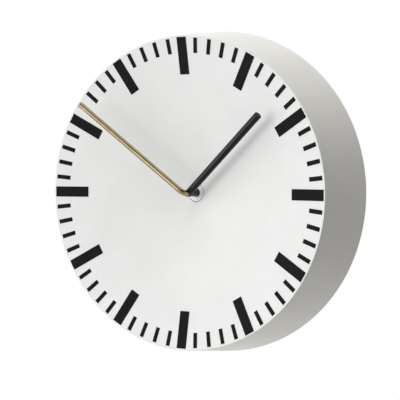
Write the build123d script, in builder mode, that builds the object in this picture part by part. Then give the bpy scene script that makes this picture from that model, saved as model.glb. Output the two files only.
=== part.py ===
from build123d import *
import os
from math import atan2, cos, degrees, pi, radians, sin, tan

os.makedirs("parts", exist_ok=True)

# Frame: the origin is on the axis of the hands, in the plane of the wall. +Z is up and the dial faces -Y.
# Heights are measured from the wall towards the viewer, so the height h is the plane Y = -h.
# Clock angles run clockwise from twelve, in degrees.

# Case and dial
rear_radius = 140.0
front_radius = 131.4
case_depth = 62.0
case_wall = 2.4
dish_angle = 11.4
dial_thickness = 2.0
dial_rim = 2.2
edge_round = 0.5
spigot_depth = 6.0
spigot_wall = 1.8
spigot_clearance = 0.2
rib_count = 8
rib_start = 22.5
rib_depth = 5.0
rib_thickness = 1.6
pad_radius = 16.0
floor_thickness = 2.0

# Printed marks
hour_mark_inner = 99.3
hour_mark_outer = 130.0
hour_mark_width = 9.0
minute_mark_inner = 116.9
minute_mark_outer = 129.4
minute_mark_width = 3.6
ink_thickness = 0.12
ink_gap = 0.02
hours = 12
minutes_per_hour = 5

# Screws that hold the dial, and the lugs and bosses that they join
screw_radius = 1.45
screw_head_radius = 2.8
screw_head_height = 1.7
screw_clearance = 0.25
pilot_clearance = 0.05
screw_reach = 6.0
dial_lug_count = 4
dial_lug_start = 45.0
dial_lug_drop = 16.0
dial_lug_thickness = 4.0
lug_width = 12.0
lug_length = 12.0
boss_radius = 4.0

# Hanger plate with its keyhole, near the top of the rear opening
hanger_angle = 11.9
hanger_height = 4.0
hanger_thickness = 1.5
hanger_width = 64.0
hanger_breadth = 22.0
hanger_corner = 4.0
hanger_lug_thickness = 8.0
keyhole_radius = 4.5
keyhole_slot_radius = 2.1
keyhole_slot_rise = 8.0
keyhole_drop = 4.0

# Hands
hour_angle = 50.4
hour_tube_radius = 3.1
hour_tube_wall = 0.6
hour_rise = 12.8
minute_angle = 310.3
minute_tube_radius = 2.4
minute_tube_wall = 0.35
minute_rise = 21.4
minute_bend_radius = 6.0
tip_wall = 1.0
tip_round = 0.3
hand_fit = 0.02
hour_grip = 6.0
minute_grip = 6.5
hand_gap = 0.5
post_radius = 1.7
post_clearance = 0.1

# Centre of the dial, from the front: cap, nut, washer, floor of the dial, gasket, movement
cap_radius = 7.3
cap_gap = 0.45
cap_top = 1.2
cap_skirt = 0.9
cap_hand_gap = 0.5
nut_gap = 0.3
nut_height = 2.5
nut_flats = 10.0
nut_clearance = 0.05
washer_thickness = 0.5
washer_clearance = 0.15
gasket_thickness = 1.0
gasket_radius = 14.0
bush_radius = 4.0
bush_short = 0.2
pipe_clearance = 0.1

# Movement
movement_size = 56.0
movement_depth = 16.5
movement_corner = 4.0
movement_wall = 1.4
movement_skin = 1.2
movement_front_depth = 7.5
partition_thickness = 1.2
partition_gap = 0.3

# Gears
tooth_addendum = 0.9
tooth_dedendum = 1.2
tooth_share = 0.75
tooth_root_flare = 1.25
tooth_tip_taper = 0.5
tooth_sink = 0.2
wheel_thickness = 1.0
pinion_overlap = 0.15
motion_module = 0.5
cannon_teeth = 10
motion_teeth = 30
motion_leaves = 8
hour_teeth = 32
knob_teeth = 10
train_module = 0.35
seconds_module = 0.38
rotor_module = 0.3
pinion_leaves = 6
centre_teeth = 48
third_teeth = 45
seconds_teeth = 30
intermediate_teeth = 36
motion_direction = 143.0
knob_direction = 143.0
third_direction = 35.0
seconds_direction = 60.0
intermediate_direction = 170.0
rotor_direction = 120.0
hour_wheel_gap = 0.35
motion_step = 1.6
centre_step = 1.8
train_step = 2.2
arbor_radius = 0.45
pivot_radius = 0.3
pivot_length = 0.6
pivot_clearance = 0.05
end_shake = 0.1
staff_radius = 1.2
collar_radius = 1.9
collar_thickness = 0.5
rear_pivot_radius = 0.8
clutch_radius = 2.3
clutch_thickness = 0.3
clutch_gap = 0.05

# Setting knob
knob_radius = 6.0
knob_height = 3.0
knob_standoff = 0.5
knob_shaft_radius = 1.5
knob_grooves = 20
knob_groove_radius = 0.5

# Stepping motor
rotor_radius = 2.8
rotor_magnet_height = 2.6
rotor_air_gap = 0.5
stator_thickness = 1.0
stator_margin = 1.8
stator_width = 2.0
core_width = 2.0
coil_radius = 3.6
coil_flange = 1.0
coil_recess = 0.5
coil_length = 14.0
coil_clearance = 0.1
coil_drop = 1.0
coil_offset = 14.0
coil_margin = 2.0

# Circuit board and its pieces
board_length = 14.0
board_width = 11.0
board_thickness = 1.0
board_gap = 0.75
board_edge = 0.5
chip_radius = 2.6
chip_height = 1.1
crystal_radius = 1.0
crystal_length = 6.0

# Battery and its contacts
battery_radius = 7.1
battery_length = 49.2
nub_radius = 2.75
nub_length = 1.3
battery_clearance = 0.35
battery_sink = 0.3
contact_thickness = 0.4
contact_width = 9.0
contact_gap = 0.2
contact_seat = 0.1

# Worked-out heights and radii
dish_slope = tan(radians(dish_angle))
dial_drop = dial_thickness / cos(radians(dish_angle))


def side_radius(height):
    """Outer radius of the drum at a height."""
    return rear_radius + (front_radius - rear_radius) * height / case_depth


def dish_height(radius):
    """Height of the dial's face at a radius."""
    return case_depth - dish_slope * (front_radius - radius)


def dish_back(radius):
    """Height of the dial's back at a radius."""
    return dish_height(radius) - dial_drop


def dish_middle(radius):
    """Height half way through the dial at a radius."""
    return dish_height(radius) - dial_drop / 2


seam_height = case_depth - dial_rim
dial_lug_height = case_depth - dial_lug_drop
dial_lug_top = dial_lug_height + dial_lug_thickness
dial_lug_outer = side_radius(dial_lug_top) - case_wall / 2
dial_screw_radius = dial_lug_outer - lug_length
hanger_lug_height = hanger_height + hanger_thickness
hanger_lug_top = hanger_lug_height + hanger_lug_thickness
hanger_lug_outer = side_radius(hanger_lug_top) - case_wall / 2
hanger_screw_radius = hanger_lug_outer - 1.5 * lug_length
hanger_middle = hanger_screw_radius * cos(radians(hanger_angle))
pilot_radius = screw_radius + pilot_clearance

well_radius = cap_radius + cap_gap
cap_height = dish_height(well_radius)
cap_under = cap_height - cap_top
nut_base = cap_under - nut_gap - nut_height
floor_top = nut_base - washer_thickness
pad_height = floor_top - floor_thickness
movement_top = pad_height - gasket_thickness
movement_bottom = movement_top - movement_depth
bush_top = nut_base + nut_height - bush_short

hour_bore = hour_tube_radius - hour_tube_wall
pipe_radius = hour_bore - hand_fit
hour_foot = bush_top + hand_gap
pipe_top = hour_foot + hour_grip
hour_elbow = cap_height + hour_rise
hour_length = hour_mark_inner / cos(radians(dish_angle))
minute_bore = minute_tube_radius - minute_tube_wall
minute_foot = pipe_top + hand_gap
post_top = minute_foot + minute_grip
minute_vertex = cap_height + minute_rise
minute_length = minute_mark_inner / cos(radians(dish_angle))

split_height = movement_top - movement_front_depth
inner_top = movement_top - movement_skin
inner_bottom = movement_bottom + movement_skin
inner_half = movement_size / 2 - movement_wall
inner_size = 2 * inner_half
inner_corner = movement_corner - movement_wall
battery_rise = -inner_half + battery_clearance + battery_radius
bay_top = battery_rise + battery_radius + battery_clearance
room_bottom = bay_top + partition_thickness

hour_level = inner_top - hour_wheel_gap - wheel_thickness
motion_level = hour_level - motion_step
centre_level = motion_level - centre_step
third_level = centre_level - train_step
seconds_level = third_level - train_step
intermediate_level = seconds_level - train_step


def face_plane(height):
    """Plane parallel to the wall at a height, facing the viewer."""
    return Plane.XZ.offset(height)


def section_at(clock_angle):
    """Plane through the axis at a clock angle: local x is the radius, local y is the height."""
    turn = radians(clock_angle)
    return Plane(origin=(0, 0, 0), x_dir=(sin(turn), 0, cos(turn)), z_dir=(cos(turn), 0, -sin(turn)))


def arm_direction(clock_angle):
    """Direction of a hand: out along its clock angle, and forward with the slope of the dish."""
    turn = radians(clock_angle)
    lean = radians(dish_angle)
    return Vector(sin(turn) * cos(lean), -sin(lean), cos(turn) * cos(lean))


def on_axis(height):
    """Point on the axis of the hands at a height."""
    return Vector(0, -height, 0)


def gear_distance(teeth, other_teeth, module):
    """Distance between the axes of two gears in mesh."""
    return (teeth + other_teeth) * module / 2


def beside(axis, distance, direction):
    """Point at a distance and a direction from an axis, on a face plane."""
    return (axis[0] + distance * cos(radians(direction)), axis[1] + distance * sin(radians(direction)))


def meshed_phase(teeth, axis, other_teeth, other_axis, other_phase):
    """Turn of a gear that puts one of its gaps round the facing tooth of a gear already turned."""
    line = degrees(atan2(axis[1] - other_axis[1], axis[0] - other_axis[0]))
    lead = other_phase - line
    return line + 180 - lead * other_teeth / teeth + 180 / teeth


def gear_outline(teeth, module, axis, phase, height):
    """Face of a gear with straight slender teeth, on the face plane at a height."""
    root = teeth * module / 2 - tooth_dedendum * module
    reach = (tooth_addendum + tooth_dedendum) * module
    half = pi * module / 4 * tooth_share
    foot = tooth_root_flare * half
    tip = tooth_tip_taper * half
    sink = -tooth_sink * module
    with BuildSketch(face_plane(height)) as outline:
        with Locations(axis):
            Circle(root)
            with PolarLocations(root, teeth, start_angle=phase):
                Polygon((sink, -foot), (reach, -tip), (reach, tip), (sink, foot), align=None)
    return outline.sketch


centre_axis = (0, 0)
motion_axis = beside(centre_axis, gear_distance(cannon_teeth, motion_teeth, motion_module), motion_direction)
knob_axis = beside(motion_axis, gear_distance(knob_teeth, motion_teeth, motion_module), knob_direction)
third_axis = beside(centre_axis, gear_distance(centre_teeth, pinion_leaves, train_module), third_direction)
seconds_axis = beside(third_axis, gear_distance(third_teeth, pinion_leaves, train_module), seconds_direction)
intermediate_axis = beside(
    seconds_axis, gear_distance(seconds_teeth, pinion_leaves, seconds_module), intermediate_direction
)
rotor_axis = beside(
    intermediate_axis, gear_distance(intermediate_teeth, pinion_leaves, rotor_module), rotor_direction
)
train_axes = [motion_axis, third_axis, seconds_axis, intermediate_axis, rotor_axis]

cannon_phase = 0.0
motion_phase = meshed_phase(motion_teeth, motion_axis, cannon_teeth, centre_axis, cannon_phase)
motion_leaf_phase = 0.0
hour_phase = meshed_phase(hour_teeth, centre_axis, motion_leaves, motion_axis, motion_leaf_phase)
knob_phase = meshed_phase(knob_teeth, knob_axis, motion_teeth, motion_axis, motion_phase)
centre_phase = 0.0
third_leaf_phase = meshed_phase(pinion_leaves, third_axis, centre_teeth, centre_axis, centre_phase)
third_phase = 0.0
seconds_leaf_phase = meshed_phase(pinion_leaves, seconds_axis, third_teeth, third_axis, third_phase)
seconds_phase = 0.0
intermediate_leaf_phase = meshed_phase(
    pinion_leaves, intermediate_axis, seconds_teeth, seconds_axis, seconds_phase
)
intermediate_phase = 0.0
rotor_phase = meshed_phase(
    pinion_leaves, rotor_axis, intermediate_teeth, intermediate_axis, intermediate_phase
)

# Flared drum wall, with lugs inside for the dial's screws and for the hanger plate
with BuildPart() as case_side:
    with BuildSketch(section_at(90)):
        with BuildLine():
            Polyline(
                (rear_radius, 0),
                (side_radius(seam_height), seam_height),
                (side_radius(seam_height) - case_wall, seam_height),
                (rear_radius - case_wall, 0),
                close=True,
            )
        make_face()
    revolve(axis=Axis.Y)
    with BuildSketch(face_plane(dial_lug_height)):
        with PolarLocations(dial_lug_outer - lug_length, dial_lug_count, start_angle=dial_lug_start):
            Rectangle(2 * lug_length, lug_width)
            Circle(screw_radius + screw_clearance, mode=Mode.SUBTRACT)
    extrude(amount=dial_lug_thickness)
    with BuildSketch(face_plane(hanger_lug_height)):
        with PolarLocations(
            hanger_screw_radius, 2, start_angle=90 - hanger_angle, angular_range=2 * hanger_angle, endpoint=True
        ):
            Rectangle(3 * lug_length, lug_width)
            Circle(pilot_radius, mode=Mode.SUBTRACT)
    extrude(amount=hanger_lug_thickness)

case_side.part.label = "case_side"
export_step(case_side.part, "parts/case_side.step")

# Dished dial: ribs and screw bosses behind it are trimmed half way through its thickness
with BuildPart() as dial:
    rib_outer = side_radius(seam_height) - case_wall - spigot_clearance - spigot_wall / 2
    rib_inner = pad_radius - rib_thickness / 2
    for rib in range(rib_count):
        with BuildSketch(section_at(rib_start + rib * 360 / rib_count)):
            with BuildLine():
                Polyline(
                    (rib_inner, dish_back(rib_inner) - rib_depth),
                    (rib_outer, dish_back(rib_outer) - rib_depth),
                    (rib_outer, dish_middle(rib_outer)),
                    (rib_inner, dish_middle(rib_inner)),
                    close=True,
                )
            make_face()
        extrude(amount=rib_thickness / 2, both=True)
    with BuildSketch(face_plane(dial_lug_top)):
        with PolarLocations(dial_screw_radius, dial_lug_count, start_angle=dial_lug_start):
            Circle(boss_radius)
            Circle(pilot_radius, mode=Mode.SUBTRACT)
    extrude(amount=case_depth - dial_lug_top)
    with BuildSketch(section_at(90)):
        with BuildLine():
            Polyline(
                (0, dish_middle(0)),
                (rear_radius, dish_middle(rear_radius)),
                (rear_radius, 2 * case_depth),
                (0, 2 * case_depth),
                close=True,
            )
        make_face()
    revolve(axis=Axis.Y, mode=Mode.SUBTRACT)
    spigot_radius = side_radius(seam_height) - case_wall - spigot_clearance
    spigot_inner = spigot_radius - spigot_wall
    bush_hole = bush_radius + washer_clearance
    with BuildSketch(section_at(90)):
        with BuildLine():
            Polyline(
                (front_radius, case_depth),
                (side_radius(seam_height), seam_height),
                (spigot_radius, seam_height),
                (spigot_radius, seam_height - spigot_depth),
                (spigot_inner, seam_height - spigot_depth),
                (spigot_inner, dish_back(spigot_inner)),
                (pad_radius, dish_back(pad_radius)),
                (pad_radius, pad_height),
                (bush_hole, pad_height),
                (bush_hole, floor_top),
                (well_radius, floor_top),
                (well_radius, cap_height),
                close=True,
            )
        make_face()
    revolve(axis=Axis.Y)
    front_edge = dial.edges().filter_by(GeomType.CIRCLE).sort_by(Axis.Y)[0]
    fillet(front_edge, radius=edge_round)

dial.part.label = "dial"
export_step(dial.part, "parts/dial.step")


def ink_film(inner, outer):
    """Section of a film of ink lying on the dish between two radii."""
    base = ink_gap
    top = ink_gap + ink_thickness
    with BuildSketch(section_at(90)) as film:
        with BuildLine():
            Polyline(
                (inner, dish_height(inner) + base),
                (outer, dish_height(outer) + base),
                (outer, dish_height(outer) + top),
                (inner, dish_height(inner) + top),
                close=True,
            )
        make_face()
    return film.sketch


# Printed bars: a film of ink on the dish, kept only where the bars are
with BuildPart() as hour_marks:
    revolve(ink_film(hour_mark_inner - hour_mark_width, hour_mark_outer + hour_mark_width), axis=Axis.Y)
    with BuildSketch(face_plane(0)):
        with PolarLocations((hour_mark_inner + hour_mark_outer) / 2, hours):
            Rectangle(hour_mark_outer - hour_mark_inner, hour_mark_width)
    extrude(amount=2 * case_depth, mode=Mode.INTERSECT)

hour_marks.part.label = "hour_marks"
export_step(hour_marks.part, "parts/hour_marks.step")

with BuildPart() as minute_marks:
    revolve(
        ink_film(minute_mark_inner - minute_mark_width, minute_mark_outer + minute_mark_width), axis=Axis.Y
    )
    with BuildSketch(face_plane(0)):
        minute_step = 360 / hours / minutes_per_hour
        for hour in range(hours):
            with PolarLocations(
                (minute_mark_inner + minute_mark_outer) / 2,
                minutes_per_hour - 1,
                start_angle=hour * 360 / hours + minute_step,
                angular_range=(minutes_per_hour - 2) * minute_step,
                endpoint=True,
            ):
                Rectangle(minute_mark_outer - minute_mark_inner, minute_mark_width)
    extrude(amount=2 * case_depth, mode=Mode.INTERSECT)

minute_marks.part.label = "minute_marks"
export_step(minute_marks.part, "parts/minute_marks.step")

with BuildPart() as dial_screws:
    with BuildSketch(face_plane(dial_lug_height - screw_head_height)):
        with PolarLocations(dial_screw_radius, dial_lug_count, start_angle=dial_lug_start):
            Circle(screw_head_radius)
    extrude(amount=screw_head_height)
    with BuildSketch(face_plane(dial_lug_height)):
        with PolarLocations(dial_screw_radius, dial_lug_count, start_angle=dial_lug_start):
            Circle(screw_radius)
    extrude(amount=dial_lug_thickness + screw_reach)

dial_screws.part.label = "dial_screws"
export_step(dial_screws.part, "parts/dial_screws.step")

# Hanger plate: the keyhole's round part lets a screw head in, and its slot rests on the shank
with BuildPart() as hanger_bracket:
    with BuildSketch(face_plane(hanger_height)):
        with Locations((0, hanger_middle)):
            RectangleRounded(hanger_width, hanger_breadth, hanger_corner)
        with PolarLocations(
            hanger_screw_radius, 2, start_angle=90 - hanger_angle, angular_range=2 * hanger_angle, endpoint=True
        ):
            Circle(screw_radius + screw_clearance, mode=Mode.SUBTRACT)
        with Locations((0, hanger_middle - keyhole_drop)):
            Circle(keyhole_radius, mode=Mode.SUBTRACT)
        with Locations((0, hanger_middle - keyhole_drop + keyhole_slot_rise / 2)):
            Rectangle(2 * keyhole_slot_radius, keyhole_slot_rise, mode=Mode.SUBTRACT)
        with Locations((0, hanger_middle - keyhole_drop + keyhole_slot_rise)):
            Circle(keyhole_slot_radius, mode=Mode.SUBTRACT)
    extrude(amount=hanger_thickness)

hanger_bracket.part.label = "hanger_bracket"
export_step(hanger_bracket.part, "parts/hanger_bracket.step")

with BuildPart() as bracket_screws:
    with BuildSketch(face_plane(hanger_height - screw_head_height)):
        with PolarLocations(
            hanger_screw_radius, 2, start_angle=90 - hanger_angle, angular_range=2 * hanger_angle, endpoint=True
        ):
            Circle(screw_head_radius)
    extrude(amount=screw_head_height)
    with BuildSketch(face_plane(hanger_height)):
        with PolarLocations(
            hanger_screw_radius, 2, start_angle=90 - hanger_angle, angular_range=2 * hanger_angle, endpoint=True
        ):
            Circle(screw_radius)
    extrude(amount=hanger_thickness + screw_reach)

bracket_screws.part.label = "bracket_screws"
export_step(bracket_screws.part, "parts/bracket_screws.step")

# Hour hand: a tube with a mitred elbow, open along the axis so that the minute hand passes through
with BuildPart() as hour_hand:
    hour_tip = on_axis(hour_elbow) + arm_direction(hour_angle) * hour_length
    with BuildLine():
        Polyline(on_axis(hour_foot), on_axis(hour_elbow), hour_tip)
    with BuildSketch(face_plane(hour_foot)):
        Circle(hour_tube_radius)
    sweep(transition=Transition.RIGHT)
    tip_edge = hour_hand.edges().filter_by(GeomType.CIRCLE).sort_by_distance(hour_tip)[0]
    fillet(tip_edge, radius=tip_round)
    with BuildSketch(face_plane(hour_foot)):
        Circle(hour_bore)
    extrude(amount=hour_elbow - hour_foot + 3 * hour_tube_radius, mode=Mode.SUBTRACT)
    with BuildSketch(Plane(origin=on_axis(hour_elbow), z_dir=arm_direction(hour_angle))):
        Circle(hour_bore)
    extrude(amount=hour_length - tip_wall, mode=Mode.SUBTRACT)

hour_hand.part.label = "hour_hand"
export_step(hour_hand.part, "parts/hour_hand.step")

# Minute hand: a bent tube, closed at its tip
with BuildPart() as minute_hand:
    minute_tip = on_axis(minute_vertex) + arm_direction(minute_angle) * minute_length
    bore_tip = minute_tip - arm_direction(minute_angle) * tip_wall
    with BuildLine():
        FilletPolyline(on_axis(minute_foot), on_axis(minute_vertex), minute_tip, radius=minute_bend_radius)
    with BuildSketch(face_plane(minute_foot)):
        Circle(minute_tube_radius)
    sweep()
    tip_edge = minute_hand.edges().filter_by(GeomType.CIRCLE).sort_by_distance(minute_tip)[0]
    fillet(tip_edge, radius=tip_round)
    with BuildLine():
        FilletPolyline(on_axis(minute_foot), on_axis(minute_vertex), bore_tip, radius=minute_bend_radius)
    with BuildSketch(face_plane(minute_foot)):
        Circle(minute_bore)
    sweep(mode=Mode.SUBTRACT)

minute_hand.part.label = "minute_hand"
export_step(minute_hand.part, "parts/minute_hand.step")

with BuildPart() as minute_bush:
    with BuildSketch(face_plane(minute_foot)):
        Circle(minute_bore - hand_fit)
        Circle(post_radius + hand_fit, mode=Mode.SUBTRACT)
    extrude(amount=minute_grip)

minute_bush.part.label = "minute_bush"
export_step(minute_bush.part, "parts/minute_bush.step")

# Centre of the dial, from the front
with BuildPart() as centre_cap:
    with BuildSketch(section_at(90)):
        with BuildLine():
            Polyline(
                (hour_tube_radius + cap_hand_gap, cap_height),
                (cap_radius, cap_height),
                (cap_radius, nut_base),
                (cap_radius - cap_skirt, nut_base),
                (cap_radius - cap_skirt, cap_under),
                (hour_tube_radius + cap_hand_gap, cap_under),
                close=True,
            )
        make_face()
    revolve(axis=Axis.Y)

centre_cap.part.label = "centre_cap"
export_step(centre_cap.part, "parts/centre_cap.step")

with BuildPart() as movement_nut:
    with BuildSketch(face_plane(nut_base)):
        RegularPolygon(nut_flats / 2, 6, major_radius=False)
        Circle(bush_radius + nut_clearance, mode=Mode.SUBTRACT)
    extrude(amount=nut_height)

movement_nut.part.label = "movement_nut"
export_step(movement_nut.part, "parts/movement_nut.step")

with BuildPart() as movement_washer:
    with BuildSketch(face_plane(floor_top)):
        Circle(cap_radius)
        Circle(bush_radius + washer_clearance, mode=Mode.SUBTRACT)
    extrude(amount=washer_thickness)

movement_washer.part.label = "movement_washer"
export_step(movement_washer.part, "parts/movement_washer.step")

with BuildPart() as movement_gasket:
    with BuildSketch(face_plane(movement_top)):
        Circle(gasket_radius)
        Circle(bush_radius + washer_clearance, mode=Mode.SUBTRACT)
    extrude(amount=gasket_thickness)

movement_gasket.part.label = "movement_gasket"
export_step(movement_gasket.part, "parts/movement_gasket.step")

# Movement housing: front half with the fixing bush, rear half with the battery bay
with BuildPart() as movement_front:
    with BuildSketch(face_plane(split_height)):
        RectangleRounded(movement_size, movement_size, movement_corner)
    extrude(amount=movement_front_depth)
    with BuildSketch(face_plane(split_height)):
        RectangleRounded(inner_size, inner_size, inner_corner)
    extrude(amount=inner_top - split_height, mode=Mode.SUBTRACT)
    with BuildSketch(face_plane(movement_top)):
        Circle(bush_radius)
    extrude(amount=bush_top - movement_top)
    with BuildSketch(face_plane(inner_top)):
        Circle(pipe_radius + pipe_clearance)
    extrude(amount=bush_top - inner_top, mode=Mode.SUBTRACT)
    with BuildSketch(face_plane(inner_top)):
        with Locations(*train_axes, knob_axis):
            Circle(pivot_radius + pivot_clearance)
    extrude(amount=pivot_length + end_shake, mode=Mode.SUBTRACT)

movement_front.part.label = "movement_front"
export_step(movement_front.part, "parts/movement_front.step")

with BuildPart() as movement_back:
    with BuildSketch(face_plane(movement_bottom)):
        RectangleRounded(movement_size, movement_size, movement_corner)
    extrude(amount=split_height - movement_bottom)
    with BuildSketch(face_plane(inner_bottom)) as gear_room:
        with Locations((0, (room_bottom + inner_half) / 2)):
            Rectangle(inner_size, inner_half - room_bottom)
    extrude(amount=split_height - inner_bottom, mode=Mode.SUBTRACT)
    with BuildSketch(face_plane(movement_bottom)) as battery_bay:
        with Locations((0, (bay_top - inner_half) / 2)):
            Rectangle(inner_size, bay_top + inner_half)
    extrude(amount=split_height - movement_bottom, mode=Mode.SUBTRACT)
    with BuildSketch(face_plane(split_height)):
        with Locations((0, (bay_top + room_bottom) / 2)):
            Rectangle(inner_size - 2 * partition_gap, partition_thickness)
    extrude(amount=inner_top - split_height - partition_gap)
    with BuildSketch(face_plane(inner_bottom)):
        with Locations(*train_axes):
            Circle(pivot_radius + pivot_clearance)
        Circle(rear_pivot_radius + pivot_clearance)
    extrude(amount=-(pivot_length + end_shake), mode=Mode.SUBTRACT)
    with BuildSketch(face_plane(inner_bottom)):
        with Locations(knob_axis):
            Circle(knob_shaft_radius + pivot_clearance)
    extrude(amount=-movement_skin, mode=Mode.SUBTRACT)

movement_back.part.label = "movement_back"
export_step(movement_back.part, "parts/movement_back.step")

# Motion work
with BuildPart() as hour_wheel:
    extrude(gear_outline(hour_teeth, motion_module, centre_axis, hour_phase, hour_level), amount=wheel_thickness)
    with BuildSketch(face_plane(hour_level)):
        Circle(pipe_radius)
    extrude(amount=pipe_top - hour_level)
    with BuildSketch(face_plane(hour_level)):
        Circle(post_radius + post_clearance)
    extrude(amount=pipe_top - hour_level, mode=Mode.SUBTRACT)

hour_wheel.part.label = "hour_wheel"
export_step(hour_wheel.part, "parts/hour_wheel.step")

with BuildPart() as minute_arbor:
    with BuildSketch(section_at(90)):
        with BuildLine():
            Polyline(
                (0, inner_bottom - pivot_length),
                (rear_pivot_radius, inner_bottom - pivot_length),
                (rear_pivot_radius, centre_level - clutch_gap - collar_thickness),
                (collar_radius, centre_level - clutch_gap - collar_thickness),
                (collar_radius, centre_level - clutch_gap),
                (staff_radius, centre_level - clutch_gap),
                (staff_radius, motion_level - pinion_overlap),
                (post_radius, motion_level - pinion_overlap),
                (post_radius, post_top),
                (0, post_top),
                close=True,
            )
        make_face()
    revolve(axis=Axis.Y)
    extrude(
        gear_outline(cannon_teeth, motion_module, centre_axis, cannon_phase, motion_level - pinion_overlap),
        amount=wheel_thickness + 2 * pinion_overlap,
    )

minute_arbor.part.label = "minute_arbor"
export_step(minute_arbor.part, "parts/minute_arbor.step")


def train_wheel(axis, wheel, pinion):
    """Wheel and pinion on one arbor; each of the two is teeth, module, phase and level."""
    with BuildPart() as piece:
        with BuildSketch(face_plane(inner_bottom + end_shake)):
            with Locations(axis):
                Circle(arbor_radius)
        extrude(amount=inner_top - inner_bottom - 2 * end_shake)
        with BuildSketch(face_plane(inner_bottom - pivot_length)):
            with Locations(axis):
                Circle(pivot_radius)
        extrude(amount=inner_top - inner_bottom + 2 * pivot_length)
        teeth, module, phase, level = wheel
        extrude(gear_outline(teeth, module, axis, phase, level), amount=wheel_thickness)
        teeth, module, phase, level = pinion
        extrude(
            gear_outline(teeth, module, axis, phase, level - pinion_overlap),
            amount=wheel_thickness + 2 * pinion_overlap,
        )
    return piece


motion_wheel = train_wheel(
    motion_axis,
    (motion_teeth, motion_module, motion_phase, motion_level),
    (motion_leaves, motion_module, motion_leaf_phase, hour_level),
)
motion_wheel.part.label = "motion_wheel"
export_step(motion_wheel.part, "parts/motion_wheel.step")

# Going train, from the centre wheel back to the rotor
with BuildPart() as centre_wheel:
    extrude(
        gear_outline(centre_teeth, train_module, centre_axis, centre_phase, centre_level), amount=wheel_thickness
    )
    with BuildSketch(face_plane(centre_level)):
        Circle(staff_radius + pivot_clearance)
    extrude(amount=wheel_thickness, mode=Mode.SUBTRACT)

centre_wheel.part.label = "centre_wheel"
export_step(centre_wheel.part, "parts/centre_wheel.step")

# Friction washer between the centre wheel and the cannon pinion, dished like a spring washer
with BuildPart() as clutch_washer:
    clutch_low = centre_level + wheel_thickness + clutch_gap
    clutch_high = motion_level - pinion_overlap - clutch_gap
    clutch_inner = staff_radius + pivot_clearance
    with BuildSketch(section_at(90)):
        with BuildLine():
            Polyline(
                (clutch_radius, clutch_low),
                (clutch_radius, clutch_low + clutch_thickness),
                (clutch_inner, clutch_high),
                (clutch_inner, clutch_high - clutch_thickness),
                close=True,
            )
        make_face()
    revolve(axis=Axis.Y)

clutch_washer.part.label = "clutch_washer"
export_step(clutch_washer.part, "parts/clutch_washer.step")

third_wheel = train_wheel(
    third_axis,
    (third_teeth, train_module, third_phase, third_level),
    (pinion_leaves, train_module, third_leaf_phase, centre_level),
)
third_wheel.part.label = "third_wheel"
export_step(third_wheel.part, "parts/third_wheel.step")

seconds_wheel = train_wheel(
    seconds_axis,
    (seconds_teeth, seconds_module, seconds_phase, seconds_level),
    (pinion_leaves, train_module, seconds_leaf_phase, third_level),
)
seconds_wheel.part.label = "seconds_wheel"
export_step(seconds_wheel.part, "parts/seconds_wheel.step")

intermediate_wheel = train_wheel(
    intermediate_axis,
    (intermediate_teeth, rotor_module, intermediate_phase, intermediate_level),
    (pinion_leaves, seconds_module, intermediate_leaf_phase, seconds_level),
)
intermediate_wheel.part.label = "intermediate_wheel"
export_step(intermediate_wheel.part, "parts/intermediate_wheel.step")

# Stepping motor
magnet_base = intermediate_level + wheel_thickness + 2 * pinion_overlap + rotor_air_gap

with BuildPart() as rotor:
    with BuildSketch(face_plane(inner_bottom + end_shake)):
        with Locations(rotor_axis):
            Circle(arbor_radius)
    extrude(amount=inner_top - inner_bottom - 2 * end_shake)
    with BuildSketch(face_plane(inner_bottom - pivot_length)):
        with Locations(rotor_axis):
            Circle(pivot_radius)
    extrude(amount=inner_top - inner_bottom + 2 * pivot_length)
    extrude(
        gear_outline(
            pinion_leaves, rotor_module, rotor_axis, rotor_phase, intermediate_level - pinion_overlap
        ),
        amount=wheel_thickness + 2 * pinion_overlap,
    )
    with BuildSketch(face_plane(magnet_base)):
        with Locations(rotor_axis):
            Circle(rotor_radius)
    extrude(amount=rotor_magnet_height)

rotor.part.label = "rotor"
export_step(rotor.part, "parts/rotor.step")

stator_base = magnet_base + rotor_magnet_height / 2 + stator_thickness / 2
stator_hole = rotor_radius + rotor_air_gap
stator_head = stator_hole + stator_margin
core_rise = rotor_axis[1] - coil_drop
yoke_rise = core_rise + coil_radius + coil_clearance + stator_width
core_left = rotor_axis[0] - coil_offset - coil_length / 2 - coil_margin
core_right = rotor_axis[0] - stator_hole

with BuildPart() as stator:
    with BuildSketch(face_plane(stator_base)):
        with Locations(rotor_axis):
            Circle(stator_head)
        with Locations(((core_left + rotor_axis[0]) / 2, yoke_rise - stator_width / 2)):
            Rectangle(rotor_axis[0] - core_left, stator_width)
        with Locations((core_left + stator_width / 2, (core_rise - core_width / 2 + yoke_rise) / 2)):
            Rectangle(stator_width, yoke_rise - core_rise + core_width / 2)
        with Locations(rotor_axis):
            Circle(stator_hole, mode=Mode.SUBTRACT)
    extrude(amount=stator_thickness)

stator.part.label = "stator"
export_step(stator.part, "parts/stator.step")

with BuildPart() as coil_core:
    with BuildSketch(face_plane(stator_base - stator_thickness)):
        with Locations(((core_left + core_right) / 2, core_rise)):
            Rectangle(core_right - core_left, core_width)
    extrude(amount=stator_thickness)

coil_core.part.label = "coil_core"
export_step(coil_core.part, "parts/coil_core.step")

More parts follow.
